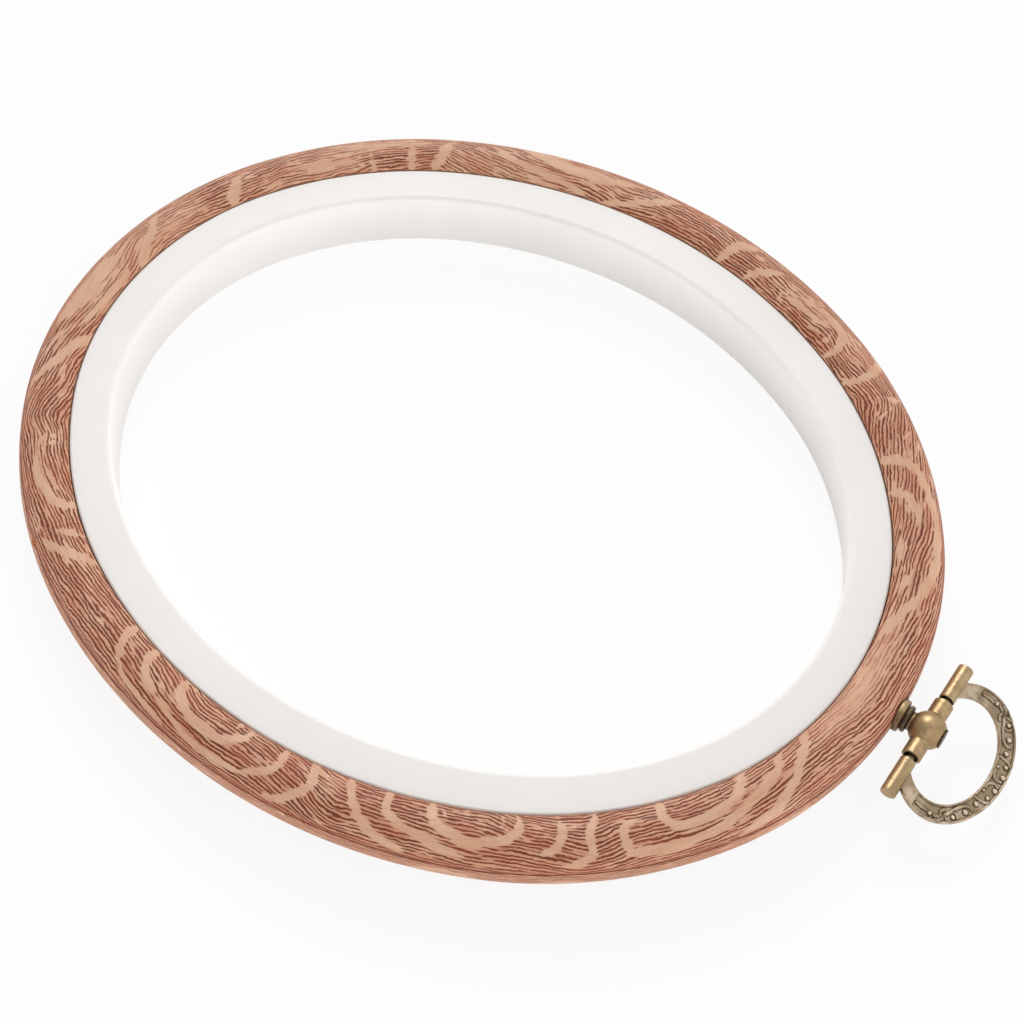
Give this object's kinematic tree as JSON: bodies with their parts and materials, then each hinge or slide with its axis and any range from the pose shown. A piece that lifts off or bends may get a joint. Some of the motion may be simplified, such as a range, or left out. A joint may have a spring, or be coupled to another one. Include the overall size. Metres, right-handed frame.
{
  "type": "embroidery hoop",
  "caption": "Oval embroidery hoop with a rigid inner ring, a soft wood-look outer ring that lifts off, and a swivelling hanger with a D-shaped bail.",
  "frame": {"origin": "centre of the oval on the plane that the back rests on", "axes": "+X along the oval's long axis to the hanger, +Z out of the display face"},
  "size_m": [0.162, 0.1232, 0.0116],
  "materials": {
    "white_plastic": "smooth satin moulding",
    "wood_print_vinyl": "soft vinyl with a printed and lightly pressed wood grain",
    "antique_brass": "antiqued, dark in the recesses and worn bright on the high spots",
    "plated_steel": "dull brass plating"
  },
  "bodies": {
    "inner_hoop": {"inner_ring": "white_plastic"},
    "outer_hoop": {"outer_ring": "wood_print_vinyl", "hanger_screw": "plated_steel", "base_collar": "antique_brass", "swivel_post": "antique_brass"},
    "hanger_hub": {"ball_hub": "antique_brass", "hinge_pin_left": "plated_steel", "hinge_pin_right": "plated_steel"},
    "hanger_bail": {"bail": "antique_brass"}
  },
  "joints": [
    {"name": "outer_ring_lift", "type": "slide", "parent": "inner_hoop", "child": "outer_hoop", "axis": [0, 0, 1], "range_m": [0, 0.012]},
    {"name": "hanger_swivel", "type": "hinge", "parent": "outer_hoop", "child": "hanger_hub", "pos_m": [0.0769, 0, 0.0074], "axis": [1, 0, 0], "continuous": true},
    {"name": "bail_pivot", "type": "hinge", "parent": "hanger_hub", "child": "hanger_bail", "pos_m": [0.0769, 0, 0.0074], "axis": [0, -1, 0], "range_deg": [-92.4, 127.6]}
  ]
}
